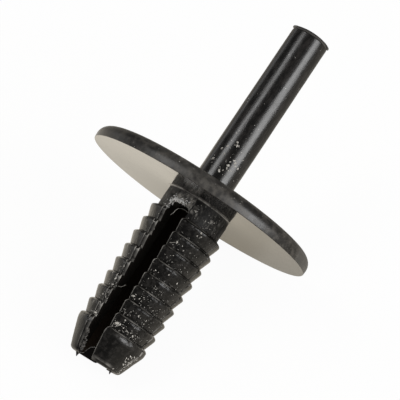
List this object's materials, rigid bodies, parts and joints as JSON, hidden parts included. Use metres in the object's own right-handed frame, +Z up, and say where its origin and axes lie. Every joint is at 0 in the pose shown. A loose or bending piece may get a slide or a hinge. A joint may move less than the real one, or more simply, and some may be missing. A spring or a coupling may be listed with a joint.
{
  "type": "push rivet",
  "caption": "Black plastic push rivet with a wide round flange, a slotted barbed shank and a plain drive pin standing in it.",
  "frame": {"origin": "centre of the flange's seating plane, on the rivet's axis; the floor that the rivet lies on is about 11 mm below it", "axes": "+Z up, as the rivet lies on a table on its flange's rim and its tip; the rivet's axis is in the XZ plane and rises towards the drive pin's struck end, at +X; the slot between the legs opens up and down across the axis"},
  "size_m": [0.0367, 0.025, 0.0226],
  "materials": {
    "body_nylon": "moulded semi-gloss black nylon",
    "pin_nylon": "smooth glossy black nylon"
  },
  "bodies": {
    "body": {"rivet_body": "body_nylon"},
    "pin": {"drive_pin": "pin_nylon"}
  },
  "joints": [
    {"name": "pin_drive", "type": "slide", "parent": "body", "child": "pin", "axis": [-0.8808, 0, -0.4734], "range_m": [0, 0.0191]}
  ]
}
